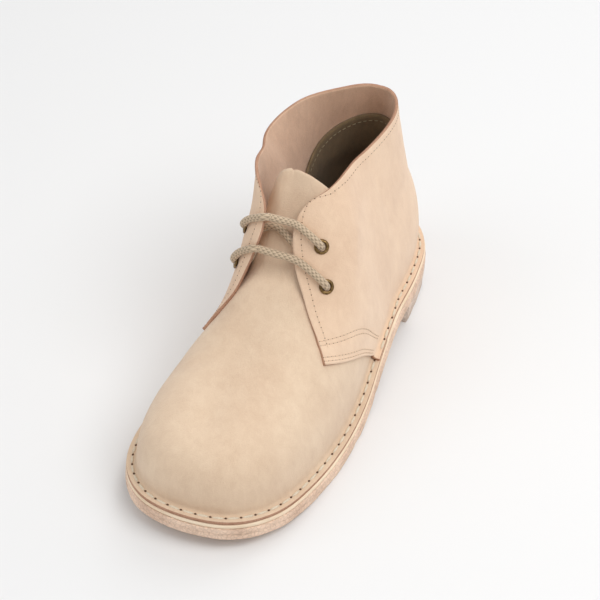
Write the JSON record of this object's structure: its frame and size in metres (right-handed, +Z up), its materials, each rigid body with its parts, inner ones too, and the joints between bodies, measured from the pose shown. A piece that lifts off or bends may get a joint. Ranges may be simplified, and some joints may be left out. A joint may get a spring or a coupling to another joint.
{
  "type": "chukka boot",
  "caption": "Left ankle-high suede boot with an open throat, a lace across the tongue, a turned-out stitched edge, a thin midsole and a rubber sole with a heel block.",
  "frame": {"origin": "on the floor, under the middle of the boot's box", "axes": "+Z up, the toe points to -Y, the outer side of the foot is +X"},
  "size_m": [0.1134, 0.289, 0.1378],
  "materials": {
    "upper_suede": "matte napped suede",
    "tongue_suede": "matte napped suede",
    "insole_leather": "matte",
    "midsole_cream": "matte",
    "outsole_crepe": "matte, crinkled side",
    "heel_crepe": "matte, crinkled side",
    "eyelet_brass": "aged satin",
    "lace_cord": "round braid"
  },
  "bodies": {
    "root": {"upper": "upper_suede", "tongue": "tongue_suede", "insole": "insole_leather", "midsole": "midsole_cream", "outsole": "outsole_crepe", "heel": "heel_crepe", "eyelet_outer_lower": "eyelet_brass", "eyelet_outer_upper": "eyelet_brass", "eyelet_inner_lower": "eyelet_brass", "eyelet_inner_upper": "eyelet_brass", "lace_lower": "lace_cord", "lace_upper": "lace_cord"}
  },
  "joints": []
}
